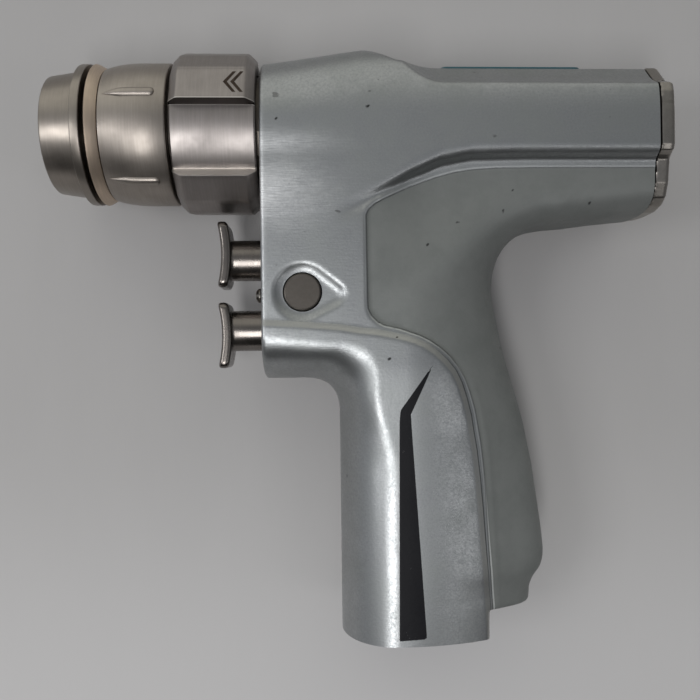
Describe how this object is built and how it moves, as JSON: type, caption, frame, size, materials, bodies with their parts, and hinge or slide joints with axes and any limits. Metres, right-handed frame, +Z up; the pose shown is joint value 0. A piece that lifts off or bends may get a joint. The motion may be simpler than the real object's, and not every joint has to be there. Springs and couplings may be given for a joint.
{
  "type": "surgical power drill",
  "caption": "Pistol-grip surgical power drill with a cannulated drive, quick coupling, selector ring, finger triggers and an open battery socket in the handle.",
  "frame": {"origin": "under the middle of the drill's bounding box, on the surface that the handle's flat lower end stands on", "axes": "+X along the drill axis towards the rear cap, with the nose at -X; +Z up, along the handle; the pictured side faces -Y"},
  "size_m": [0.1512, 0.0396, 0.1462],
  "materials": {
    "silver_aluminium": "satin blasted, brushed highlights",
    "coupling_steel": "turned and satin finished",
    "bronze_tint": "tinted, satin",
    "stainless_steel": "satin",
    "gear_steel": "ground",
    "spring_steel": "drawn wire",
    "black_rubber": "matt",
    "copper_wire": "enamelled copper",
    "contact_brass": "plated",
    "magnet_nickel": "plated magnet",
    "circuit_board": "coated board",
    "black_plastic": "moulded",
    "bush_plastic": "moulded"
  },
  "bodies": {
    "drill_body": {"housing": "silver_aluminium", "coupling_body": "coupling_steel", "front_sleeve": "coupling_steel", "cone_ring": "bronze_tint", "thrust_washer": "bronze_tint", "rear_cap": "stainless_steel", "trigger_screw": "stainless_steel", "selector_plunger": "stainless_steel", "nose_retaining_ring": "stainless_steel", "spindle_bearing_front": "stainless_steel", "spindle_bearing_rear": "stainless_steel", "motor_bearing_front": "stainless_steel", "motor_bearing_rear": "stainless_steel", "cannula_tube": "stainless_steel", "rear_cap_screw_1": "stainless_steel", "rear_cap_screw_2": "stainless_steel", "rear_cap_screw_3": "stainless_steel", "rear_cap_screw_4": "stainless_steel", "ring_gear": "gear_steel", "stator_core": "gear_steel", "collar_spring": "spring_steel", "upper_trigger_spring": "spring_steel", "lower_trigger_spring": "spring_steel", "rear_cap_seal": "black_rubber", "trigger_screw_seal": "black_rubber", "winding_head_front": "copper_wire", "winding_head_rear": "copper_wire", "motor_lead_1": "copper_wire", "motor_lead_2": "copper_wire", "motor_lead_3": "copper_wire", "battery_contact_1": "contact_brass", "battery_contact_2": "contact_brass", "battery_contact_3": "contact_brass", "battery_contact_4": "contact_brass", "controller_board": "circuit_board", "trigger_sensor_board": "circuit_board", "motor_sensor_board": "circuit_board", "battery_contact_block": "black_plastic", "upper_trigger_bush": "bush_plastic", "lower_trigger_bush": "bush_plastic"},
    "upper_trigger": {"upper_trigger": "stainless_steel"},
    "lower_trigger": {"lower_trigger": "stainless_steel"},
    "mode_button": {"mode_button": "stainless_steel"},
    "selector_ring": {"selector_ring": "coupling_steel"},
    "release_collar": {"release_collar": "coupling_steel"},
    "rotor": {"rotor_shaft": "gear_steel", "rotor_magnet": "magnet_nickel", "sun_gear": "gear_steel"},
    "carrier": {"planet_carrier": "stainless_steel", "planet_pin_1": "stainless_steel", "planet_pin_2": "stainless_steel", "planet_pin_3": "stainless_steel", "output_spindle": "stainless_steel"},
    "planet_1": {"planet_gear_1": "gear_steel"},
    "planet_2": {"planet_gear_2": "gear_steel"},
    "planet_3": {"planet_gear_3": "gear_steel"}
  },
  "joints": [
    {"name": "upper_trigger_pull", "type": "slide", "parent": "drill_body", "child": "upper_trigger", "axis": [1, 0, 0], "range_m": [0, 0.006], "stiffness_N_per_m": 600, "springref_m": -0.002, "deforming": ["upper_trigger_spring"]},
    {"name": "lower_trigger_pull", "type": "slide", "parent": "drill_body", "child": "lower_trigger", "axis": [1, 0, 0], "range_m": [0, 0.006], "stiffness_N_per_m": 600, "springref_m": -0.002, "deforming": ["lower_trigger_spring"]},
    {"name": "mode_button_push", "type": "slide", "parent": "drill_body", "child": "mode_button", "axis": [0, -1, 0], "range_m": [0, 0.0028]},
    {"name": "selector_turn", "type": "hinge", "parent": "drill_body", "child": "selector_ring", "pos_m": [-0.0348, 0, 0.1258], "axis": [1, 0, 0], "range_deg": [0, 36]},
    {"name": "collar_push", "type": "slide", "parent": "drill_body", "child": "release_collar", "axis": [-1, 0, 0], "range_m": [0, 0.0025], "stiffness_N_per_m": 800, "springref_m": -0.002, "deforming": ["collar_spring"]},
    {"name": "rotor_spin", "type": "hinge", "parent": "drill_body", "child": "rotor", "pos_m": [0.0211, 0, 0.1258], "axis": [1, 0, 0], "continuous": true},
    {"name": "carrier_spin", "type": "hinge", "parent": "drill_body", "child": "carrier", "pos_m": [-0.0139, 0, 0.1258], "axis": [1, 0, 0], "continuous": true},
    {"name": "planet_1_spin", "type": "hinge", "parent": "carrier", "child": "planet_1", "pos_m": [-0.008, 0, 0.1177], "axis": [1, 0, 0], "continuous": true},
    {"name": "planet_2_spin", "type": "hinge", "parent": "carrier", "child": "planet_2", "pos_m": [-0.008, 0.00701, 0.12985], "axis": [1, 0, 0], "continuous": true},
    {"name": "planet_3_spin", "type": "hinge", "parent": "carrier", "child": "planet_3", "pos_m": [-0.008, -0.00701, 0.12985], "axis": [1, 0, 0], "continuous": true}
  ],
  "couplings": [
    {"joint": "carrier_spin", "follows": "rotor_spin", "ratio": 0.22222},
    {"joint": "planet_1_spin", "follows": "rotor_spin", "ratio": -0.62222},
    {"joint": "planet_2_spin", "follows": "rotor_spin", "ratio": -0.62222},
    {"joint": "planet_3_spin", "follows": "rotor_spin", "ratio": -0.62222}
  ]
}
